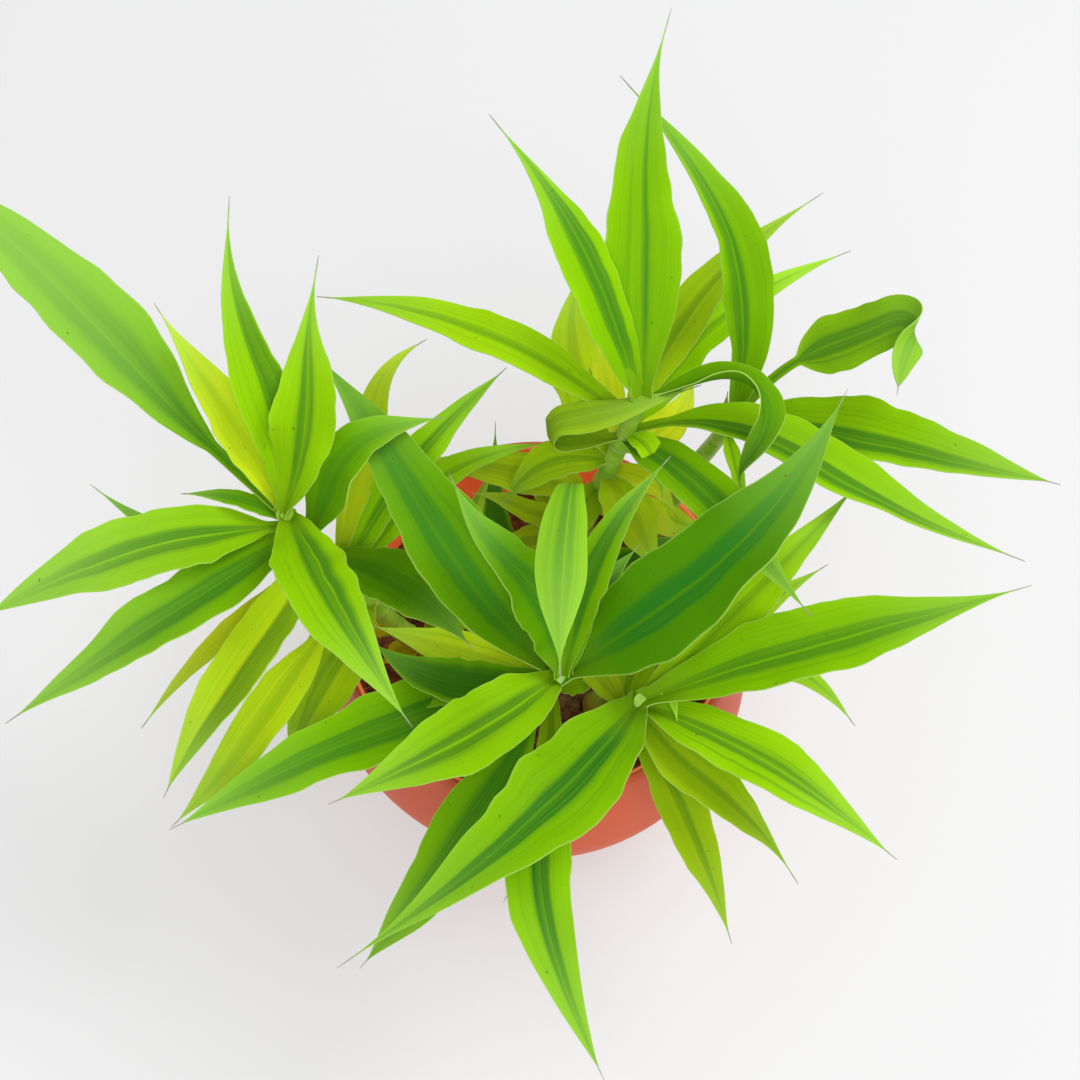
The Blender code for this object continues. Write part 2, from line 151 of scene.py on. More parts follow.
LOOKS = {
    "fresh": Look(0.0, 0.14, 0.2, 0.5, 0.35, 0.15, 0.05),
    "striped": Look(0.0, 0.24, 0.6, 0.75, 0.65, 0.08, 0.2),
    "two_lines": Look(0.03, 0.3, 1.0, 0.8, 0.2, 0.05, 0.2),
    "off_right": Look(-0.2, 0.35, 0.4, 0.8, 0.35, 0.0, 0.35),
    "off_left": Look(0.26, 0.28, 0.7, 0.8, 0.35, 0.05, 0.2),
    "narrow": Look(-0.12, 0.1, 0.0, 0.8, 0.5, 0.0, 0.5),
    "broad": Look(0.0, 0.38, 0.4, 0.8, 0.3, 0.0, 0.55),
    "low_band": Look(-0.38, 0.34, 0.5, 0.8, 0.3, 0.05, 0.3),
    "half_right": Look(-0.45, 0.42, 0.2, 0.75, 0.4, 0.05, 0.2),
    "half_left": Look(0.35, 0.28, 0.6, 0.75, 0.3, 0.0, 0.5),
    "lined": Look(0.0, 0.3, 1.0, 1.0, 0.1, 0.0, 1.0),
    "many": Look(-0.1, 0.3, 1.0, 0.65, 0.5, 0.0, 0.4),
    "teal_band": Look(0.05, 0.24, 0.35, 1.0, 0.25, 0.0, 0.25),
    "teal_green": Look(0.05, 0.24, 0.35, 1.0, 0.25, 0.0, 0.45),
    "blue_lined": Look(0.05, 0.42, 0.7, 0.75, 0.35, 0.0, 0.6),
    "deep": Look(0.08, 0.34, 0.35, 0.75, 0.5, 0.0, 0.85),
    "dark": Look(0.0, 0.7, 0.25, 0.8, 0.35, 0.0, 0.7),
    "green": Look(0.0, 0.3, 0.3, 0.5, 0.5, 0.0, 0.75),
    "pale": Look(0.12, 0.12, 0.0, 0.15, 0.25, 0.85, 0.0),
    "old": Look(0.0, 0.2, 0.2, 0.3, 0.4, 0.65, 0.05),
    "old_half": Look(0.5, 0.4, 0.2, 0.7, 0.3, 0.6, 0.0),
    "old_striped": Look(0.0, 0.25, 0.5, 0.55, 0.55, 0.45, 0.25),
    "yellow": Look(0.0, 0.1, 0.0, 0.12, 0.25, 1.0, 0.0),
    "dull_olive": Look(0.0, 0.5, 0.3, 0.3, 0.6, 0.35, 0.7),
    "olive": Look(0.0, 0.3, 0.3, 0.35, 0.4, 0.65, 0.55),
    "olive_lime": Look(0.0, 0.16, 0.3, 0.5, 0.4, 0.4, 0.35),
    "dull": Look(0.0, 0.3, 0.8, 0.7, 1.0, 0.1, 0.6),
}

LEFT_CANE = Cane(
    points=((-36, -2, 57), (-50, -3, 88), (-61, -2, 125), (-76, -4, 168)),
    leaves=(
        Leaf(0, 56, 60, 19, 30, 81, 19, sway=-11, taper=2.2),
        Leaf(2, 103, 59, 23, -6, 97, 14, sway=-13, taper=1.8),
        Leaf(4, 125, 48, 21, 6, 75, 15, sway=-4, taper=1.6),
        Leaf(6, 142, 34, 27, -1, 163, 24, sway=5, stalk=0.2, belly=0.5, taper=1.2),
        Leaf(3, -70, 35, 50, 18, 90, 20),
        Leaf(8, 171, 45, 61, 0, 38, 6),
        Leaf(9, -163, 20, 36, 6, 98, 23, stalk=0.1, taper=1),
        Leaf(14, -135, 17, 41, -19, 108, 20),
        Leaf(18, -164, -10, 32, -27, 52, 14),
        Leaf(30, -178, -10, -27, -36, 83, 10),
        Leaf(24, -117, 3, 54, -18, 99, 17, sway=3, taper=1.2),
        Leaf(30, -142, -7, 43, -8, 90, 7),
        Leaf(34, -25, 17, 31, -22, 57, 19),
        Leaf(38, 76, 27, 26, -42, 80, 12, turn=0.8, ease=0.2, taper=1.1),
        Leaf(43, 50, 40, 17, -14, 84, 14, taper=1.1),
        Leaf(18, 52, 62, 76, -26, 66, 16, turn=0.48, ease=0.3, sway=-6),
        Leaf(50, 53, 27, 44, -33, 85, 12),
        Leaf(56, -120, -2, 40, -26, 106, 16, sway=-5, stalk=0.16, belly=0.52),
        Leaf(66, -113, 10, 69, -17, 69, 21),
        Leaf(92, 160, 4, 32, 47, 16, 8),
        Leaf(104, 56, 35, 29, 19, 72, 11, sway=-9),
        Leaf(106, -164, 5, 31, 15, 18, 9),
    ),
    looks=(
        "striped", "half_right", "pale", "blue_lined", "off_left", "green", "two_lines", "broad",
        "dark", "dark", "old_half", "yellow", "green", "pale", "striped", "green", "fresh", "old",
        "old_striped", "yellow", "old_half", "olive",
    ),
)

BACK_CANE = Cane(
    points=((10, 28, 57), (13, 30, 75), (18, 32, 105), (32, 34, 172)),
    leaves=(
        Leaf(0, 95, 52, 37, -18, 121, 24, sway=-3, belly=0.38, taper=2.2),
        Leaf(2, 128, 61, 43, -1, 101, 16, sway=4, taper=1.8),
        Leaf(4, 2, 26, 117, -184, 83, 11, 0.6, 0.35, 8, roll=-35, unroll=0.6, fold=0.8, cuts=14),
        Leaf(34, 66, 22, 20, -29, 120, 16, stalk=0.1, taper=1.7),
        Leaf(40, 58, 20, 21, -32, 116, 15, stalk=0.1),
        Leaf(13, 163, 41, 61, -4, 114, 15),
        Leaf(19, -11, 34, 50, -10, 138, 18, turn=0.25, ease=0.25, sway=6, stalk=0.12),
        Leaf(22, -163, 21, -154, -3, 83, 11, turn=0.38, ease=0.14, sway=3, belly=0.5, cuts=14),
        Leaf(23, -52, 32, 55, 3, 91, 18, sway=4),
        Leaf(20, -48, 38, 96, -30, 30, 8),
        Leaf(28, 102, 22, 24, -11, 54, 10),
        Leaf(31, 12, 17, 10, 65, 40, 12),
        Leaf(35, 124, 32, 23, -45, 67, 18),
        Leaf(42, -14, 11, 32, -46, 30, 9),
        Leaf(66, 156, 33, 31, -70, 30, 10),
        Leaf(68, -5, 4, 26, -10, 46, 13),
        Leaf(74, -175, 19, 38, -37, 45, 9, sway=14),
        Leaf(84, 149, 29, 21, -53, 38, 8),
        Leaf(92, 179, 15, 30, 6, 34, 12),
        Leaf(96, -152, 19, 49, 30, 86, 13),
        Leaf(104, -34, 32, 18, 72, 51, 15, sway=-14),
        Leaf(62, 171, 26, 34, 0, 66, 14),
        Leaf(112, 173, 30, -2, -101, 73, 10, sway=17),
        Leaf(36, 178, 6, 70, 24, 46, 15),
        Leaf(44, -68, 8, 50, 14, 40, 17),
        Leaf(52, -128, 14, 48, 10, 42, 16),
        Leaf(60, -28, 20, 40, -6, 38, 13),
    ),
    looks=(
        "narrow", "off_right", "green", "olive_lime", "fresh", "fresh", "low_band", "dull_olive",
        "broad", "fresh", "yellow", "yellow", "old", "yellow", "yellow", "old", "old", "olive",
        "olive", "old_striped", "dark", "olive", "dark", "olive_lime", "old", "olive_lime",
        "yellow",
    ),
)

RIGHT_CANE = Cane(
    points=((28, 24, 57), (42, 35, 86), (52, 43, 110), (65, 47, 140)),
    leaves=(
        Leaf(0, 16, 42, 50, -140, 97, 19, 0.72, 0.09, 22, -152, 0.77, 0.3, 0.4, 0.65, cuts=16),
        Leaf(1, 79, 59, 41, 64, 125, 17, sway=-9, taper=1.6),
        Leaf(3, -24, 33, 40, 6, 110, 23, sway=5, taper=1.1),
        Leaf(6, -86, 22, 59, 14, 36, 5),
        Leaf(9, -109, 81, -2, 0, 33, 3),
    ),
    looks=(
        "dull", "half_left", "low_band", "fresh", "fresh",
    ),
)

FRONT_LEFT_CANE = Cane(
    points=((-2, -14, 57), (1, -22, 80), (4, -33, 110), (8, -44, 138)),
    leaves=(
        Leaf(0, 77, 50, 22, -36, 77, 13),
        Leaf(1, 115, 56, 30, 23, 76, 21, sway=-20, belly=0.28),
        Leaf(2, 86, 60, -132, 0, 134, 14, 0.55, 0.12, sway=5, stalk=0.48, belly=0.76, taper=1.5, cuts=16),
        Leaf(3, 17, 40, 25, 41, 126, 31, sway=3, belly=0.33),
        Leaf(5, 68, 40, 11, -29, 48, 13),
        Leaf(6, -134, 27, 38, -24, 85, 23),
        Leaf(8, 139, 35, 30, -17, 131, 25, sway=6),
        Leaf(42, 10, 2, 20, -6, 20, 16),
        Leaf(20, -166, 3, 19, -59, 67, 16),
        Leaf(24, -113, 1, 44, -29, 116, 21, stalk=0.14, belly=0.52, taper=1.2),
        Leaf(30, -87, -11, 42, -38, 80, 10),
        Leaf(28, -171, 5, 38, 0, 68, 8),
        Leaf(42, -157, 17, 33, 1, 132, 25, taper=1.1),
        Leaf(44, 170, 24, 25, -8, 62, 15),
        Leaf(56, 140, 25, 20, 10, 46, 12),
    ),
    looks=(
        "broad", "deep", "many", "lined", "dark", "two_lines", "deep", "fresh", "dark", "broad",
        "old_striped", "fresh", "broad", "old", "olive_lime",
    ),
)

FRONT_RIGHT_CANE = Cane(
    points=((20, -20, 57), (24, -31, 80), (28, -42, 108), (32, -50, 132)),
    leaves=(
        Leaf(1, 11, 25, 31, 6, 126, 23, sway=2, taper=1.7),
        Leaf(2, 37, 31, 61, -135, 21, 4, sway=17),
        Leaf(3, -120, 36, 57, -30, 132, 27, belly=0.34, taper=1.8),
        Leaf(4, 38, 25, 21, 9, 99, 15),
        Leaf(6, -31, 19, 41, -4, 93, 19),
        Leaf(8, 38, 13, 17, -4, 78, 12),
        Leaf(11, -50, 4, 37, 8, 77, 16, sway=-9, taper=2.2),
        Leaf(15, 31, 9, 62, -60, 95, 12),
        Leaf(17, -142, 27, 46, 72, 132, 21, turn=0.35, ease=0.35, sway=7, taper=1.1),
        Leaf(20, -62, -6, 42, -3, 86, 15, taper=1.5),
        Leaf(28, 128, 22, 30, 10, 34, 11),
        Leaf(40, 95, 20, 15, -10, 34, 11),
        Leaf(30, 76, 22, 30, -16, 38, 15),
    ),
    looks=(
        "many", "fresh", "teal_green", "fresh", "striped", "old_striped", "olive_lime", "fresh",
        "teal_band", "olive_lime", "olive", "green", "olive_lime",
    ),
)

CANES = {
    "leafy_stem_left": LEFT_CANE,
    "leafy_stem_back": BACK_CANE,
    "leafy_stem_right": RIGHT_CANE,
    "leafy_stem_front_left": FRONT_LEFT_CANE,
    "leafy_stem_front_right": FRONT_RIGHT_CANE,
}


# Node helpers
class Nodes:
    """Builds one material's nodes with short calls."""

    def __init__(self, name):
        self.material = bpy.data.materials.new(name)
        self.material.use_nodes = True
        self.tree = self.material.node_tree
        self.shader = self.tree.nodes["Principled BSDF"]
        self.out = self.tree.nodes["Material Output"]

    def node(self, kind, **settings):
        made = self.tree.nodes.new(kind)
        for key, value in settings.items():
            setattr(made, key, value)
        return made

    def plug(self, value, socket):
        if isinstance(value, bpy.types.NodeSocket):
            self.tree.links.new(value, socket)
        else:
            socket.default_value = value

    def math(self, operation, first, second=0.0):
        made = self.node("ShaderNodeMath", operation=operation)
        self.plug(first, made.inputs[0])
        self.plug(second, made.inputs[1])
        return made.outputs[0]

    def ramp(self, value, low, high, start=0.0, end=1.0):
        """Climbs smoothly from start to end as value runs from low to high."""
        made = self.node("ShaderNodeMapRange", interpolation_type="SMOOTHSTEP")
        for socket, number in zip(made.inputs[:5], (value, low, high, start, end)):
            self.plug(number, socket)
        return made.outputs[0]

    def mix(self, share, first, second, blend="MIX"):
        """Blends two colours. Its colour sockets are inputs 6 and 7 and output 2."""
        made = self.node("ShaderNodeMix", data_type="RGBA", blend_type=blend)
        self.plug(share, made.inputs[0])
        self.plug(first, made.inputs[6])
        self.plug(second, made.inputs[7])
        return made.outputs[2]

    def vector(self, x, y, z):
        made = self.node("ShaderNodeCombineXYZ")
        for socket, value in zip(made.inputs, (x, y, z)):
            self.plug(value, socket)
        return made.outputs[0]

    def noise(self, place, scale, detail=2.0, roughness=0.5):
        made = self.node("ShaderNodeTexNoise")
        self.plug(place, made.inputs["Vector"])
        made.inputs["Scale"].default_value = scale
        made.inputs["Detail"].default_value = detail
        made.inputs["Roughness"].default_value = roughness
        return made.outputs[0]

    def parts_of(self, name, kind="ShaderNodeSeparateXYZ", output="Vector"):
        """The first three numbers of a point attribute, and the node that reads it."""
        source = self.node("ShaderNodeAttribute", attribute_name=name)
        split = self.node(kind)
        self.tree.links.new(source.outputs[output], split.inputs[0])
        return split.outputs, source

    def bump(self, height, strength, distance):
        made = self.node("ShaderNodeBump")
        self.plug(height, made.inputs["Height"])
        made.inputs["Strength"].default_value = strength
        made.inputs["Distance"].default_value = distance
        return made.outputs[0]

    def finish(self, colour, roughness, specular, normal=None):
        self.plug(colour, self.shader.inputs["Base Color"])
        self.plug(roughness, self.shader.inputs["Roughness"])
        self.shader.inputs["Specular IOR Level"].default_value = specular
        if normal is not None:
            self.tree.links.new(normal, self.shader.inputs["Normal"])
        return self.material

    def let_light_through(self, colour, share):
        """Mixes in a translucent shader, as in a thin leaf."""
        through = self.node("ShaderNodeBsdfTranslucent")
        self.plug(colour, through.inputs["Color"])
        mixer = self.node("ShaderNodeMixShader")
        mixer.inputs[0].default_value = share
        self.tree.links.new(self.shader.outputs[0], mixer.inputs[1])
        self.tree.links.new(through.outputs[0], mixer.inputs[2])
        self.tree.links.new(mixer.outputs[0], self.out.inputs["Surface"])


# Materials
LIME = (0.4, 0.8, 0.002, 1)
GREEN = (0.09, 0.3, 0.002, 1)
DEEP_GREEN = (0.03, 0.22, 0.015, 1)
OLD_YELLOW = (0.82, 0.84, 0.02, 1)
PAINTED_EDGE_HIGHLIGHT = (0.5, 0.76, 0.14, 1)
PAINTED_SHEEN = (0.46, 0.84, 0.15, 1)
ROOT_OLIVE = (0.2, 0.36, 0.01, 1)
HAIR_GREY = (0.5, 0.47, 0.4, 1)
SPECK_BROWN = (0.12, 0.12, 0.02, 1)
UNDERSIDE_GREEN = (0.3, 0.5, 0.12, 1)
CANE_GREEN = (0.2, 0.46, 0.02, 1)
CANE_LIME = (0.36, 0.58, 0.05, 1)
CANE_FOOT_OLIVE = (0.3, 0.32, 0.07, 1)
RING_STRAW = (0.5, 0.5, 0.2, 1)
CANE_GRAINS = 12.0
CORAL = (0.6, 0.085, 0.028, 1)
LIGHT_CORAL = (0.66, 0.105, 0.036, 1)
# Painted light: a brighter coral and a faint glow for the pot's inner wall.
INNER_WALL_PAINTED_LIGHT_CORAL = (0.95, 0.3, 0.12, 1)
INNER_WALL_PAINTED_GLOW = (1, 0.12, 0.03, 1)
INNER_WALL_PAINTED_GLOW_STRENGTH = 0.28
SOIL_DARK = (0.05, 0.03, 0.014, 1)
SOIL_LIGHT = (0.2, 0.12, 0.05, 1)
SOIL_FLECK = (0.3, 0.22, 0.12, 1)
FLOOR_GREY = (0.39, 0.39, 0.395, 1)
FLOOR_PALE_GREY = (0.41, 0.41, 0.415, 1)
FLOOR_GLOW_STRENGTH = 0.405
WHITE = (1, 1, 1, 1)

# Keeps a place's x and y and drops its height
LEVEL = (1, 1, 0)

# How the first three numbers of a colour attribute are read. The fourth is its alpha.
COLOUR_PARTS = ("ShaderNodeSeparateColor", "Color")

# Leaf pattern. A row of lanes tells how often streaks change across a blade and along it, and how much
# detail they have. Widths are shares of a blade's half width, and depths and shares are how much of
# one colour lies over another. A painted sheen, a pale lime standing in for light on the leaf, lightens
# each tip. As painted light, it also lightens what lies far out, from REACH_NEAR to REACH_FAR metres
# from its middle, the place that the shift below moves to the origin.
DRIFTS_PER_LEAF = 3.0
DRIFT_WIDTH = 0.16
WIDE_LANES = (4.5, 0.6, 2.0)
THIN_LANES = (13.0, 0.9, 2.0)
FINE_LANES = (40.0, 1.6, 1.0)
BAND_UNEVENNESS = 0.35
BAND_TRIM = 0.06
BAND_SOFTNESS = 0.22
BAND_DEPTH = 0.95
LINE_DEPTH = 0.85
SIDE_STRIPE_DEPTH = 0.5
FINE_STREAK_SHARE = 0.2
MARGIN_LIME_AND_HIGHLIGHT_SHARE = 0.45
TIP_PAINTED_SHEEN_SHARE = 0.36
REACH_PAINTED_LIGHT_SHARE = 0.5
REACH_NEAR = 0.12
REACH_FAR = 0.2
PAINTED_LIGHT_SHIFT = (-0.035, 0.02, 0)
ROOT_SHARE = 0.45
DARKEST_TONE = 0.88
LIGHTEST_TONE = 1.06
UNDERSIDE_SHARE = 0.06
PAINTED_EDGE_HIGHLIGHT_SHARE = 0.35
SPECK_SCALE = 560.0
SPECK_SHARE = 0.6
LIGHT_THROUGH_SHARE = 0.3


Blade = namedtuple("Blade", "across along seed centre half_width line dark stripes age green tone")


def read_blade(nodes):
    """What each point of a blade carries: its place on the blade and its leaf's look."""
    (across, along, seed), _ = nodes.parts_of("blade_place")
    (centre, half_width, line), first = nodes.parts_of("blade_band", *COLOUR_PARTS)
    (stripes, age, green), second = nodes.parts_of("blade_age", *COLOUR_PARTS)
    dark = first.outputs["Alpha"]
    tone = second.outputs["Alpha"]
    return Blade(across, along, seed, centre, half_width, line, dark, stripes, age, green, tone)


def level_reach(nodes, place):
    """How far a place lies from the middle of the painted light on the outer leaves, seen from straight
    above.
    """
    level = nodes.node("ShaderNodeVectorMath", operation="MULTIPLY_ADD")
    nodes.plug(place, level.inputs[0])
    level.inputs[1].default_value = LEVEL
    level.inputs[2].default_value = PAINTED_LIGHT_SHIFT
    length = nodes.node("ShaderNodeVectorMath", operation="LENGTH")
    nodes.plug(level.outputs[0], length.inputs[0])
    return length.outputs["Value"]


def drifting_across(nodes, blade):
    """The place across a blade, with a slow drift, so that no stripe runs quite straight."""
    course = nodes.vector(blade.seed, nodes.math("MULTIPLY", blade.along, DRIFTS_PER_LEAF), 0.0)
    drift = nodes.math("SUBTRACT", nodes.noise(course, scale=1.0), 0.5)
    return nodes.math("ADD", blade.across, nodes.math("MULTIPLY", drift, DRIFT_WIDTH))


def streaks(nodes, blade, x, lanes):
    """Streaks along a blade. x is the place across it."""
    lanes_across, lanes_along, detail = lanes
    spot_across = nodes.math("MULTIPLY", x, lanes_across)
    spot_along = nodes.math("MULTIPLY", blade.along, lanes_along)
    return nodes.noise(nodes.vector(spot_across, spot_along, blade.seed), scale=1.0, detail=detail)


def dark_stripes(nodes, blade, x, wide, thin):
    """How dark a blade is at each place: its band, the pale line in it and the stripes beside it."""
    middle = nodes.math("SUBTRACT", nodes.math("MULTIPLY", blade.centre, 2.0), 1.0)
    away = nodes.math("ABSOLUTE", nodes.math("SUBTRACT", x, middle))
    uneven = nodes.math("MULTIPLY", nodes.math("SUBTRACT", wide, 0.5), BAND_UNEVENNESS)
    inner = nodes.math("ADD", blade.half_width, nodes.math("SUBTRACT", uneven, BAND_TRIM))
    outer = nodes.math("ADD", inner, BAND_SOFTNESS)
    band = nodes.math("MULTIPLY", nodes.ramp(away, inner, outer, 1.0, 0.0), blade.dark)
    band = nodes.math("MULTIPLY", band, nodes.ramp(thin, 0.34, 0.58, 0.72, 1.0))
    midline = nodes.math("MULTIPLY", nodes.ramp(away, 0.01, 0.065, LINE_DEPTH, 0.0), blade.line)
    band = nodes.math("MULTIPLY", band, nodes.math("SUBTRACT", 1.0, midline))
    beside = nodes.math("MULTIPLY", nodes.ramp(thin, 0.5, 0.7, 0.0, SIDE_STRIPE_DEPTH), blade.stripes)
    from_midrib = nodes.math("ABSOLUTE", blade.across)
    beside = nodes.math("MULTIPLY", beside, nodes.ramp(from_midrib, 0.6, 0.85, 1.0, 0.0))
    root_end = nodes.ramp(blade.along, 0.03, 0.25, 0.5, 1.0)
    tip_end = nodes.ramp(blade.along, 0.65, 0.96, 1.0, 0.45)
    ends = nodes.math("MULTIPLY", root_end, tip_end)
    return nodes.math("MULTIPLY", nodes.math("MAXIMUM", band, beside), ends)


def ground_colour(nodes, blade, wide, fine):
    """The colour between the dark stripes: lime to green, limier at the margins (partly the leaf's own
    lime and partly a painted highlight), yellow with age.
    """
    light = nodes.mix(blade.green, LIME, GREEN)
    light = nodes.mix(nodes.ramp(fine, 0.35, 0.75, 0.0, FINE_STREAK_SHARE), light, GREEN)
    from_midrib = nodes.math("ABSOLUTE", blade.across)
    # Limier margins beyond the root: partly the leaf's own lime, partly a painted highlight.
    glow = nodes.ramp(from_midrib, 0.45, 0.95, 0.0, MARGIN_LIME_AND_HIGHLIGHT_SHARE)
    glow = nodes.math("MULTIPLY", glow, nodes.math("SUBTRACT", 1.0, blade.green))
    glow = nodes.math("MULTIPLY", glow, nodes.ramp(blade.along, 0.1, 0.45))
    light = nodes.mix(glow, light, LIME)
    yellowing = nodes.math("MULTIPLY", blade.age, nodes.ramp(wide, 0.25, 0.6, 1.0, 0.7))
    return nodes.mix(yellowing, light, OLD_YELLOW)


def leaf_colour(nodes, underside):
    """A striped blade's colour and its fine streaks."""
    blade = read_blade(nodes)
    place = nodes.node("ShaderNodeTexCoord").outputs["Object"]
    x = drifting_across(nodes, blade)
    wide = streaks(nodes, blade, x, WIDE_LANES)
    thin = streaks(nodes, blade, x, THIN_LANES)
    fine = streaks(nodes, blade, x, FINE_LANES)

    ground = ground_colour(nodes, blade, wide, fine)
    darkness = nodes.math("MULTIPLY", dark_stripes(nodes, blade, x, wide, thin), BAND_DEPTH)
    colour = nodes.mix(darkness, ground, DEEP_GREEN)
    # Painted sheen: each tip is lightened toward a pale lime, a painted highlight.
    colour = nodes.mix(nodes.ramp(blade.along, 0.5, 0.97, 0.0, TIP_PAINTED_SHEEN_SHARE), colour, PAINTED_SHEEN)
    # Painted light: leaves far out are lightened, standing in for the stronger light on the outer leaves.
    far_painted_light = nodes.ramp(level_reach(nodes, place), REACH_NEAR, REACH_FAR, 0.0, REACH_PAINTED_LIGHT_SHARE)
    colour = nodes.mix(far_painted_light, colour, PAINTED_SHEEN)
    colour = nodes.mix(nodes.ramp(blade.along, 0.02, 0.22, ROOT_SHARE, 0.0), colour, ROOT_OLIVE)
    shade = nodes.ramp(blade.tone, 0.0, 1.0, DARKEST_TONE, LIGHTEST_TONE)
    colour = nodes.mix(1.0, colour, nodes.vector(shade, shade, shade), "MULTIPLY")
    if underside:
        colour = nodes.mix(UNDERSIDE_SHARE, colour, UNDERSIDE_GREEN)
    # Painted highlight: a thin pale line along each edge, where light catches it.
    from_midrib = nodes.math("ABSOLUTE", blade.across)
    painted_edge_highlight = nodes.ramp(from_midrib, 0.955, 0.99, 0.0, PAINTED_EDGE_HIGHLIGHT_SHARE)
    colour = nodes.mix(painted_edge_highlight, colour, PAINTED_EDGE_HIGHLIGHT)
    spots = nodes.noise(place, SPECK_SCALE, detail=1.0)
    speck = nodes.ramp(spots, 0.775, 0.8, 0.0, SPECK_SHARE)
    colour = nodes.mix(speck, colour, SPECK_BROWN)
    hair = nodes.ramp(blade.along, 0.95, 0.98)
    return nodes.mix(hair, colour, HAIR_GREY), fine


def leaf_material(name, underside):
    nodes = Nodes(name)
    colour, fine = leaf_colour(nodes, underside)
    normal = nodes.bump(fine, strength=0.25, distance=0.0003)
    roughness = 0.6 if underside else nodes.ramp(fine, 0.2, 0.8, 0.42, 0.52)
    nodes.finish(colour, roughness, specular=0.04, normal=normal)
    nodes.let_light_through(colour, LIGHT_THROUGH_SHARE)
    return nodes.material


def edge_material():
    nodes = Nodes("leaf_edge")
    (_, along, _), _ = nodes.parts_of("blade_place")
    # Painted highlight: the rim is pale where light catches the edge, and grey at the hair-fine tip.
    colour = nodes.mix(nodes.ramp(along, 0.92, 0.96), PAINTED_EDGE_HIGHLIGHT, HAIR_GREY)
    nodes.finish(colour, roughness=0.5, specular=0.1)
    nodes.let_light_through(colour, LIGHT_THROUGH_SHARE)
    return nodes.material


def cane_material():
    nodes = Nodes("cane_green")
    (along, ring, seed), _ = nodes.parts_of("cane_place")
    place = nodes.node("ShaderNodeTexCoord").outputs["Object"]
    blotch = nodes.noise(place, scale=140.0, detail=3.0)
    course = nodes.vector(seed, nodes.math("MULTIPLY", along, CANE_GRAINS), 0.0)
    grain = nodes.noise(course, scale=1.0)
    colour = nodes.mix(nodes.ramp(blotch, 0.35, 0.65), CANE_GREEN, CANE_LIME)
    colour = nodes.mix(nodes.ramp(along, 0.0, 0.6, 0.45, 0.0), colour, CANE_FOOT_OLIVE)
    colour = nodes.mix(nodes.ramp(ring, 0.3, 0.9, 0.0, 0.75), colour, RING_STRAW)
    roughness = nodes.ramp(grain, 0.3, 0.7, 0.36, 0.5)
    normal = nodes.bump(blotch, strength=0.2, distance=0.0004)
    return nodes.finish(colour, roughness, specular=0.4, normal=normal)


def pot_material():
    """Matte coral plastic. Its inside is painted a brighter coral and given a faint glow: painted
    light, standing in for light that falls in and comes through the thin wall.
    """
    nodes = Nodes("coral_plastic")
    place = nodes.node("ShaderNodeTexCoord").outputs["Object"]
    grain = nodes.noise(place, scale=900.0)
    cloud = nodes.noise(place, scale=18.0, detail=3.0)
    colour = nodes.mix(nodes.ramp(cloud, 0.3, 0.7), CORAL, LIGHT_CORAL)
    # Painted light: the inner wall, facing the pot's middle, is picked out and given a brighter coral.
    facing = nodes.node("ShaderNodeVectorMath", operation="DOT_PRODUCT")
    flat = nodes.node("ShaderNodeVectorMath", operation="MULTIPLY")
    nodes.plug(place, flat.inputs[0])
    flat.inputs[1].default_value = LEVEL
    nodes.plug(flat.outputs[0], facing.inputs[0])
    nodes.plug(nodes.node("ShaderNodeNewGeometry").outputs["Normal"], facing.inputs[1])
    inner = nodes.ramp(facing.outputs["Value"], -0.02, 0.0, 1.0, 0.0)
    colour = nodes.mix(inner, colour, INNER_WALL_PAINTED_LIGHT_CORAL)
    # Painted glow: the inner wall glows faintly though no lamp is there.
    nodes.shader.inputs["Emission Color"].default_value = INNER_WALL_PAINTED_GLOW
    glow = nodes.math("MULTIPLY", inner, INNER_WALL_PAINTED_GLOW_STRENGTH)
    nodes.plug(glow, nodes.shader.inputs["Emission Strength"])
    roughness = nodes.ramp(cloud, 0.2, 0.8, 0.46, 0.6)
    normal = nodes.bump(grain, strength=0.1, distance=0.0002)
    return nodes.finish(colour, roughness, specular=0.35, normal=normal)


def soil_material():
    nodes = Nodes("potting_soil")
    place = nodes.node("ShaderNodeTexCoord").outputs["Object"]
    crumbs = nodes.noise(place, scale=380.0, detail=5.0, roughness=0.65)
    flecks = nodes.noise(place, scale=700.0, detail=1.0)
    colour = nodes.mix(nodes.ramp(crumbs, 0.35, 0.65), SOIL_DARK, SOIL_LIGHT)
    colour = nodes.mix(nodes.ramp(flecks, 0.66, 0.7, 0.0, 0.8), colour, SOIL_FLECK)
    normal = nodes.bump(crumbs, strength=0.8, distance=0.0015)
    return nodes.finish(colour, roughness=0.95, specular=0.2, normal=normal)


def floor_material():
    nodes = Nodes("pale_floor")
    place = nodes.node("ShaderNodeTexCoord").outputs["Object"]
    cloud = nodes.noise(place, scale=3.0)
    colour = nodes.mix(cloud, FLOOR_GREY, FLOOR_PALE_GREY)
    nodes.shader.inputs["Emission Color"].default_value = WHITE
    nodes.shader.inputs["Emission Strength"].default_value = FLOOR_GLOW_STRENGTH
    return nodes.finish(colour, roughness=0.8, specular=0.1)


# Shapes
def cane_line(cane):
    """Points along a cane's axis: first straight up, then in a smooth curve through its points."""
    first = Vector(cane.points[0]) * MM
    knots = [Vector(point) * MM for point in cane.points]
    ends = [knots[0] - Vector((0, 0, CANE_UPRIGHT_LEAD))] + knots + [2 * knots[-1] - knots[-2]]
    line = [Vector((first.x, first.y, CANE_FOOT))]
    for i in range(len(knots) - 1):
        before, start, end, after = ends[i : i + 4]
        for step in range(CANE_STEPS_PER_SPAN):
            t = step / CANE_STEPS_PER_SPAN
            line.append(
                0.5
                * (
                    2 * start
                    + (end - before) * t
                    + (2 * before - 5 * start + 4 * end - after) * t**2
                    + (3 * start - before - 3 * end + after) * t**3
                )
            )
    line.append(knots[-1])
    return line


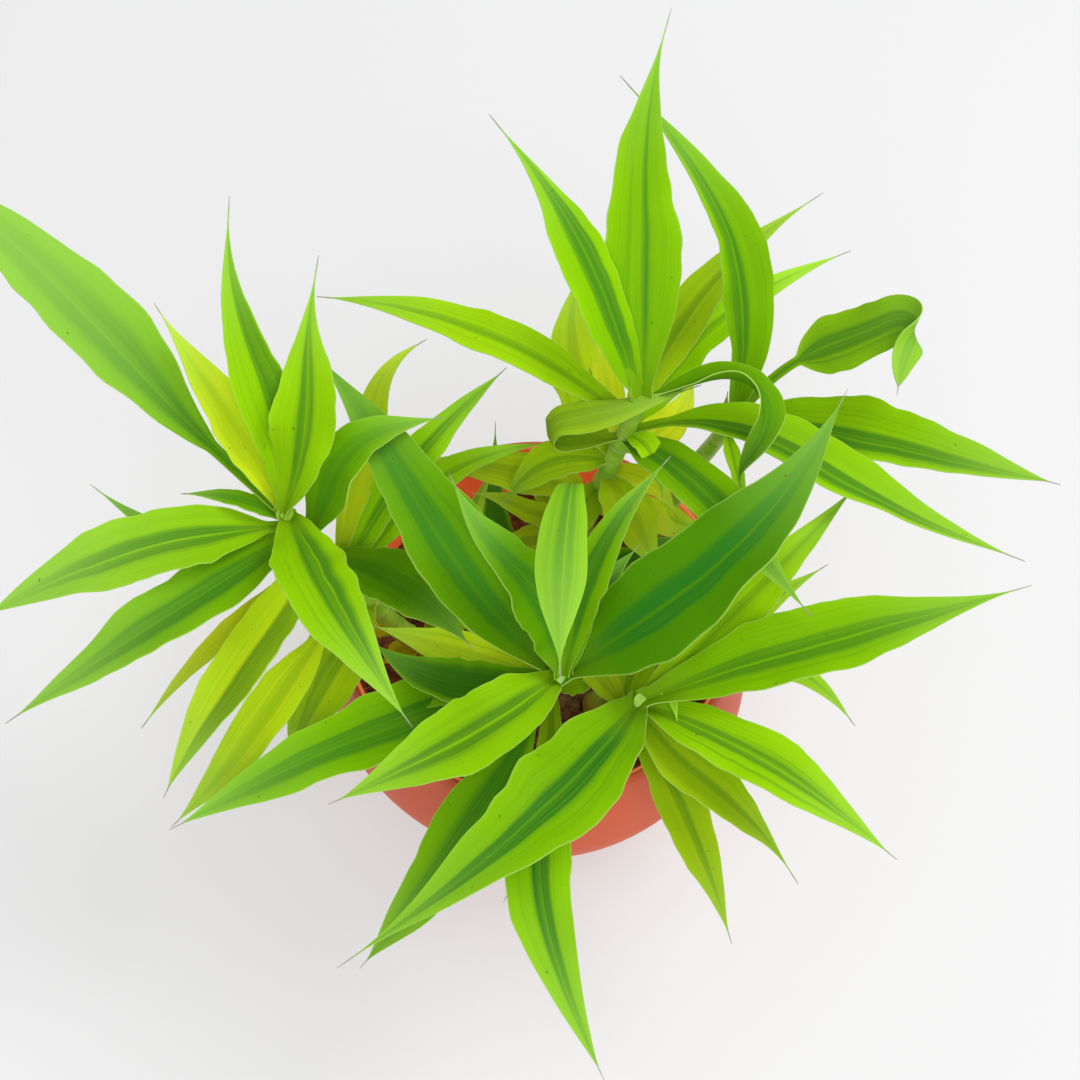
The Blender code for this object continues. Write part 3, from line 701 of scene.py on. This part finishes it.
def point_below_tip(line, drop):
    """The point of a line that lies drop metres before its end, measured along it."""
    left = drop
    for start, end in zip(reversed(line[:-1]), reversed(line[1:])):
        span = (end - start).length
        if left <= span:
            return end + (start - end) * (left / span)
        left -= span
    return line[0]


def eased(share, turn, ease):
    """Climbs smoothly from 0 to 1 around turn."""
    x = min(max((share - turn + ease) / (2 * ease), 0), 1)
    return x * x * (3 - 2 * x)


def blade_frame(leaf, share):
    """Unit vectors of a blade at a share of its length: along it, to its left, and out of its face."""
    bend = eased(share, leaf.turn, leaf.ease)
    slope = math.radians(leaf.rise - leaf.droop * bend)
    sway = leaf.sway * math.cos(2 * math.pi * share)
    heading = math.radians(leaf.heading + leaf.sweep * bend + sway)
    level = Vector((math.cos(heading), math.sin(heading), 0))
    along = level * math.cos(slope) + Vector((0, 0, math.sin(slope)))
    left = Vector((-math.sin(heading), math.cos(heading), 0))
    face = along.cross(left)
    roll = math.radians(leaf.roll) * (1 - eased(share, leaf.unroll, UNROLL_EASE))
    rolled_left = left * math.cos(roll) + face * math.sin(roll)
    rolled_face = face * math.cos(roll) - left * math.sin(roll)
    return along, rolled_left, rolled_face


def blade_line(leaf, root, cuts):
    """Points along a blade's midrib, from its root inside the cane to its tip."""
    fine = cuts * LINE_STEPS_PER_CUT
    points = [root.copy()]
    for i in range(fine):
        along = blade_frame(leaf, (i + 0.5) / fine)[0]
        points.append(points[-1] + along * (leaf.length * MM / fine))
    return points[::LINE_STEPS_PER_CUT]


def blade_half_width(leaf, share):
    """A blade's half width: it clasps the cane, swells to its belly, and ends in a hair."""
    start = CLASPING_WIDTH if leaf.stalk < LONGEST_CLASPING_STALK else STALK_WIDTH
    if share < leaf.stalk:
        spread = start
    elif share < leaf.belly:
        climb = (share - leaf.stalk) / (leaf.belly - leaf.stalk)
        spread = start + (1 - start) * math.sin(math.pi / 2 * climb)
    elif share < BODY_END:
        fall = (share - leaf.belly) / (BODY_END - leaf.belly)
        spread = math.cos(math.pi / 2 * fall) ** leaf.taper
    else:
        spread = 0
    hair = HAIR_WIDTH * (1 - HAIR_TAPER * max(share - BODY_END, 0) / (1 - BODY_END))
    return max(leaf.width * MM * spread, hair) / 2


def smooth_noise(x, seed):
    """Noise that changes smoothly with x. Each seed gives it another course."""
    return noise.noise(Vector((x, seed, NOISE_PLANE)))


def by_side(across, left_value, right_value):
    """Picks one of two values by the side of the midrib that a place across a blade is on."""
    return left_value if across > 0 else right_value


def blade_inset(share, edge):
    """How much wider or narrower than its plain outline a blade is at one edge."""
    wide = smooth_noise(share * WIDE_INSETS_PER_LEAF, edge + WIDE_INSET_NOISE) * WIDE_INSET
    small = smooth_noise(share * SMALL_INSETS_PER_LEAF, edge + SMALL_INSET_NOISE) * SMALL_INSET
    return wide + small


def blade_fold(leaf, share):
    """Slope of a blade's two halves. A leaf without a stalk folds round its cane at its root."""
    clasp = CLASPING_FOLD if leaf.stalk < LONGEST_CLASPING_STALK else leaf.fold
    opened = eased(share, CLASPING_SHARE / 2, CLASPING_SHARE / 2)
    return leaf.fold + (clasp - leaf.fold) * (1 - opened)


def blade_spot(leaf, share, across, phases, seed):
    """How far a point of a blade lies to the left of its midrib and out of its face."""
    half = blade_half_width(leaf, share)
    width = leaf.width * MM
    edge = seed + by_side(across, LEFT_EDGE_NOISE, RIGHT_EDGE_NOISE)
    fade = math.sin(math.pi * min(share * WAVE_FADE, 1))
    wave = math.sin(2 * math.pi * WAVES_PER_LEAF * share + by_side(across, *phases)) * BLADE_WAVE
    ripple = smooth_noise(share * RIPPLES_PER_LEAF, edge) * RIPPLE_HEIGHT
    rise = math.sqrt(across * across + MIDRIB_ROUNDING) - math.sqrt(MIDRIB_ROUNDING)
    lift = rise * half * blade_fold(leaf, share) + (wave + ripple) * fade * width * across * across
    bulge_noise = smooth_noise(share * BULGES_PER_LEAF, seed + BULGE_NOISE + across)
    bulge = bulge_noise * BULGE_HEIGHT * width * fade
    return across * half * (1 + blade_inset(share, edge) * fade), lift + bulge


def make_blade(name, leaf, look, root, waves, fine_waves):
    """A thin blade with a rounded fold along its midrib, waved edges and a hair-fine tip."""
    cuts = leaf.cuts * FINE_CUTS_PER_STIFF_LENGTH
    line = blade_line(leaf, root, cuts)
    phases = [waves.uniform(0, 2 * math.pi) for _ in range(2)]
    seed = fine_waves.uniform(0, SEED_RANGE)
    tone = fine_waves.uniform(0, 1)
    bm = bmesh.new()
    place = bm.verts.layers.float_vector.new("blade_place")
    band = bm.verts.layers.float_color.new("blade_band")
    age = bm.verts.layers.float_color.new("blade_age")
    bmesh.ops.create_grid(bm, x_segments=cuts, y_segments=FINE_SIDE_CUTS, size=1)
    for vert in bm.verts:
        step = round((vert.co.x + 1) / 2 * cuts)
        share = step / cuts
        across = vert.co.y
        left, face = blade_frame(leaf, share)[1:]
        sideways, outward = blade_spot(leaf, share, across, phases, seed)
        vert.co = line[step] + left * sideways + face * outward
        vert[place] = (across, share, seed)
        vert[band] = ((look.centre + 1) / 2, look.half_width, look.line, look.dark)
        vert[age] = (look.stripes, look.age, look.green, tone)
    blade = add_object(name, mesh_from(bm, name))
    thicken_blade(blade)
    blade.data.shade_smooth()
    blade.data.set_sharp_from_angle(angle=BLADE_SHARP_ANGLE)
    return blade


def thicken_blade(blade):
    """Gives a flat blade its thickness, with its own materials below and along its rim."""
    for material in LEAF_MATERIALS:
        blade.data.materials.append(material)
    thicken = blade.modifiers.new("thickness", "SOLIDIFY")
    thicken.thickness = FINE_THICKNESS
    thicken.offset = 0
    thicken.material_offset = LEAF_MATERIALS.index(LEAF_UNDER)
    thicken.material_offset_rim = LEAF_MATERIALS.index(LEAF_EDGE)
    apply_modifiers(blade)


def mesh_from(bm, name):
    mesh = bpy.data.meshes.new(name)
    bm.to_mesh(mesh)
    bm.free()
    return mesh


def add_object(name, data):
    """Puts a new object into the scene."""
    made = bpy.data.objects.new(name, data)
    bpy.context.scene.collection.objects.link(made)
    return made


def apply_modifiers(obj):
    """Replaces the object's mesh with its evaluated one."""
    bpy.context.view_layer.update()
    graph = bpy.context.evaluated_depsgraph_get()
    mesh = bpy.data.meshes.new_from_object(obj.evaluated_get(graph))
    obj.modifiers.clear()
    obj.data = mesh


def cane_radius(share, ring):
    """Radius of a cane at a share of its length. ring is 1 in the middle of a ring and 0 between."""
    smooth_radius = CANE_BASE_RADIUS + (CANE_TIP_RADIUS - CANE_BASE_RADIUS) * share
    return smooth_radius * (1 + RING_HEIGHT * ring)


def cane_ring(share, length):
    """Strength of the rings of a cane at a share of its length: 1 in a ring's middle, 0 between."""
    if share <= LOWEST_RING_SHARE:
        return 0.0
    return max(math.cos(2 * math.pi * length * share / RING_SPACING), 0) ** RING_NARROWNESS


def make_cane(name, cane, seed):
    """A round cane with a raised ring at each old leaf."""
    line = cane_line(cane)
    length = sum((end - start).length for start, end in zip(line[:-1], line[1:]))
    bm = bmesh.new()
    place = bm.verts.layers.float_vector.new("cane_place")
    rows = []
    for i in range(CANE_FINE_STEPS + 1):
        share = i / CANE_FINE_STEPS
        drop = length * (1 - share)
        centre = point_below_tip(line, drop)
        ahead = point_below_tip(line, max(drop - CANE_PROBE, 0))
        behind = point_below_tip(line, min(drop + CANE_PROBE, length))
        along = (ahead - behind).normalized()
        side = along.cross(Vector((0, 1, 0))).normalized()
        front = along.cross(side)
        ring = cane_ring(share, length)
        radius = cane_radius(share, ring)
        row = []
        for j in range(CANE_SIDES):
            angle = 2 * math.pi * j / CANE_SIDES
            vert = bm.verts.new(centre + (side * math.cos(angle) + front * math.sin(angle)) * radius)
            vert[place] = (share, ring, seed)
            row.append(vert)
        rows.append(row)
    for low, high in zip(rows[:-1], rows[1:]):
        for j in range(CANE_SIDES):
            k = (j + 1) % CANE_SIDES
            bm.faces.new((low[j], low[k], high[k], high[j]))
    bm.faces.new(rows[0])
    bm.faces.new(rows[-1])
    bmesh.ops.recalc_face_normals(bm, faces=bm.faces)
    mesh = mesh_from(bm, name)
    mesh.materials.append(CANE_MATERIAL)
    mesh.shade_smooth()
    mesh.set_sharp_from_angle(angle=CANE_SHARP_ANGLE)
    return add_object(name, mesh)


def pot_radius(height):
    """Outer radius of the pot at a height."""
    if height < POT_WIDEST_HEIGHT:
        down = (POT_WIDEST_HEIGHT - height) / POT_WIDEST_HEIGHT
        swell = (1 - down**POT_LOWER_CURVE) ** (1 / POT_LOWER_CURVE)
        return POT_BASE_RADIUS + (POT_WIDEST_RADIUS - POT_BASE_RADIUS) * swell
    up = (height - POT_WIDEST_HEIGHT) / (POT_HEIGHT - POT_WIDEST_HEIGHT)
    return POT_WIDEST_RADIUS - (POT_WIDEST_RADIUS - POT_MOUTH_RADIUS) * up**POT_UPPER_CURVE


def heights(low, high, steps):
    """Evenly spaced heights from low to high."""
    return [low + (high - low) * i / steps for i in range(steps + 1)]


def pot_profile():
    """From the middle of the pot's floor up its inside, over its round rim and down to its base."""
    lip = POT_WALL / 2
    top = POT_HEIGHT - lip
    middle = POT_MOUTH_RADIUS - lip
    inner = [(pot_radius(z) - POT_WALL, z) for z in heights(POT_FLOOR, top, POT_PROFILE_STEPS)]
    angles = [math.pi * i / POT_RIM_STEPS for i in range(1, POT_RIM_STEPS)]
    rim = [(middle - lip * math.cos(a), top + lip * math.sin(a)) for a in angles]
    upper = [(pot_radius(z), z) for z in heights(top, POT_WIDEST_HEIGHT, POT_PROFILE_STEPS // 2)]
    downs = [math.sin(math.pi / 2 * i / POT_PROFILE_STEPS) for i in range(1, POT_PROFILE_STEPS)]
    lower = [(pot_radius(z), z) for z in (POT_WIDEST_HEIGHT * (1 - down) for down in downs)]
    return [(0, POT_FLOOR)] + inner + rim + upper + lower + [(POT_BASE_RADIUS, 0), (0, 0)]


def make_pot(material):
    """The turned bowl, with a smooth outline."""
    profile = pot_profile()
    mesh = bpy.data.meshes.new("bowl")
    edges = [(i, i + 1) for i in range(len(profile) - 1)]
    mesh.from_pydata([(radius, 0, height) for radius, height in profile], edges, [])
    bowl = add_object("bowl", mesh)
    screw = bowl.modifiers.new("turn", "SCREW")
    screw.steps = POT_SIDES
    screw.render_steps = POT_SIDES
    screw.use_merge_vertices = True
    screw.merge_threshold = MERGE_DISTANCE
    apply_modifiers(bowl)
    bowl.data.materials.append(material)
    bowl.data.shade_smooth()
    bowl.data.set_sharp_from_angle(angle=POT_SHARP_ANGLE)
    return bowl


# Pieces
LEAF_TOP = leaf_material("leaf_top", underside=False)
LEAF_UNDER = leaf_material("leaf_under", underside=True)
LEAF_EDGE = edge_material()
LEAF_MATERIALS = [LEAF_TOP, LEAF_UNDER, LEAF_EDGE]
CANE_MATERIAL = cane_material()

waves = random.Random(WAVE_SEED)
fine_waves = random.Random(FINE_WAVE_SEED)
for number, (node, cane) in enumerate(CANES.items()):
    side = node.removeprefix("leafy_stem_")
    line = cane_line(cane)
    pieces = [make_cane(f"cane_{side}", cane, number)]
    for i, (leaf, look) in enumerate(zip(cane.leaves, cane.looks)):
        root = point_below_tip(line, leaf.drop * MM)
        pieces.append(make_blade(f"leaf_{side}_{i:02d}", leaf, LOOKS[look], root, waves, fine_waves))
    for piece in pieces:
        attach(piece, BODY)
        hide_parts(node)

bowl = make_pot(pot_material())
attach(bowl, BODY)
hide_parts("pot")

# Soil keeps its solid and gets a better material
for slot in bpy.data.objects["soil"].material_slots:
    slot.material = soil_material()

# Floor
bpy.ops.mesh.primitive_plane_add(size=FLOOR_SIZE, location=(0, 0, 0))
floor = bpy.context.object
floor.name = "floor"
floor.data.materials.append(floor_material())

# Sky
world = bpy.data.worlds.new("sky")
bpy.context.scene.world = world
world.use_nodes = True
background = world.node_tree.nodes["Background"]
background.inputs["Color"].default_value = WHITE
background.inputs["Strength"].default_value = SKY_STRENGTH


def soft_lamp(name, place, size, power):
    """A large lamp that points at the plant."""
    light = bpy.data.lights.new(name, "AREA")
    light.size = size
    light.energy = power
    lamp = add_object(name, light)
    lamp.location = place
    lamp.rotation_euler = (Vector(LAMP_TARGET) - Vector(place)).to_track_quat("-Z", "Y").to_euler()


soft_lamp("key", KEY_LAMP_PLACE, KEY_LAMP_SIZE, KEY_LAMP_POWER)
soft_lamp("front", FRONT_LAMP_PLACE, FRONT_LAMP_SIZE, FRONT_LAMP_POWER)

# Camera
camera_data = bpy.data.cameras.new("camera")
camera_data.lens = CAMERA_LENS
camera_data.sensor_width = CAMERA_SENSOR
camera = add_object("camera", camera_data)
camera.location = CAMERA_PLACE
camera.rotation_euler = (CAMERA_TILT, 0, 0)
bpy.context.scene.camera = camera
bpy.context.scene.view_settings.view_transform = "Standard"
